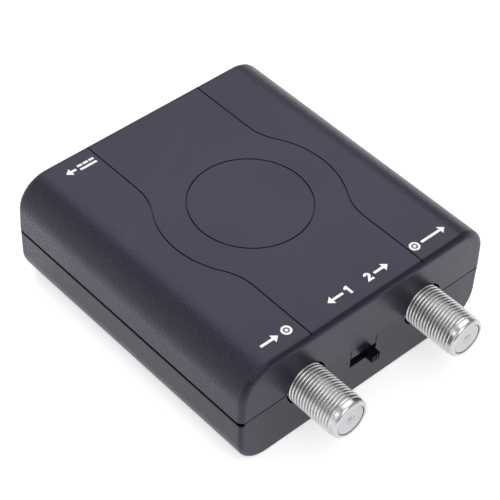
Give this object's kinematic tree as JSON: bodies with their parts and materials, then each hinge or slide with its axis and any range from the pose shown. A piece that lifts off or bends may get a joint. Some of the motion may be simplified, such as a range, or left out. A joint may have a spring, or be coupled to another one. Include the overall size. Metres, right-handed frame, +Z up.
{
  "type": "rf modulator",
  "caption": "Small two-part moulded case with threaded aerial sockets and a channel slide switch in front, and phono sockets and a power inlet behind; puts video and sound on a TV channel.",
  "frame": {"origin": "centre of the case's flat underside", "axes": "+Z up, -Y towards the aerial sockets and the switch, +X to the right seen from the front"},
  "size_m": [0.068, 0.0908, 0.027],
  "materials": {
    "case_abs": "fine spark-eroded texture",
    "nickel": "bright nickel plate",
    "insulator": "satin",
    "contact_metal": "satin",
    "steel_screw": "zinc plate",
    "tinplate": "tin plate",
    "board": "solder resist",
    "black_plastic": "satin moulding",
    "phenolic": "phenolic sheet",
    "video_yellow": "satin moulding",
    "audio_white": "satin moulding",
    "audio_red": "satin moulding",
    "ferrite": "sintered",
    "chip_epoxy": "moulded epoxy",
    "crystal_can": "drawn can",
    "capacitor_sleeve": "shrink sleeve",
    "diode_epoxy": "moulded epoxy",
    "chip_ceramic": "ceramic"
  },
  "bodies": {
    "case": {"top_cover": "case_abs", "bottom_cover": "case_abs", "case_screws": "steel_screw", "board_screws": "steel_screw", "rf_in_connector": "nickel", "rf_out_connector": "nickel", "rf_in_insulator": "insulator", "rf_out_insulator": "insulator", "rf_in_contact": "contact_metal", "rf_out_contact": "contact_metal", "connector_nuts": "nickel", "connector_washers": "steel_screw", "can_frame": "tinplate", "can_lid": "tinplate", "oscillator_coil_can": "tinplate", "sound_coil_can": "tinplate", "oscillator_coil_core": "ferrite", "sound_coil_core": "ferrite", "combiner_core": "ferrite", "modulator_chip": "chip_epoxy", "crystal": "crystal_can", "switch_frame": "tinplate", "switch_base": "phenolic", "switch_terminals": "contact_metal", "video_jack_shell": "nickel", "audio_left_jack_shell": "nickel", "audio_right_jack_shell": "nickel", "video_jack_insert": "video_yellow", "audio_left_jack_insert": "audio_white", "audio_right_jack_insert": "audio_red", "video_jack_contact": "contact_metal", "audio_left_jack_contact": "contact_metal", "audio_right_jack_contact": "contact_metal", "av_jack_housing": "black_plastic", "dc_jack_housing": "black_plastic", "dc_jack_pin": "nickel", "dc_jack_spring": "contact_metal", "reservoir_capacitor": "capacitor_sleeve", "filter_capacitor": "capacitor_sleeve", "coupling_capacitors": "capacitor_sleeve", "rectifier_diodes": "diode_epoxy", "voltage_regulator": "chip_epoxy", "chip_resistors": "chip_epoxy", "chip_capacitors": "chip_ceramic", "main_board": "board"},
    "slider": {"switch_knob": "black_plastic", "switch_clip": "contact_metal"}
  },
  "joints": [
    {"name": "channel_slide", "type": "slide", "parent": "case", "child": "slider", "axis": [-1, 0, 0], "range_m": [0, 0.003]}
  ]
}
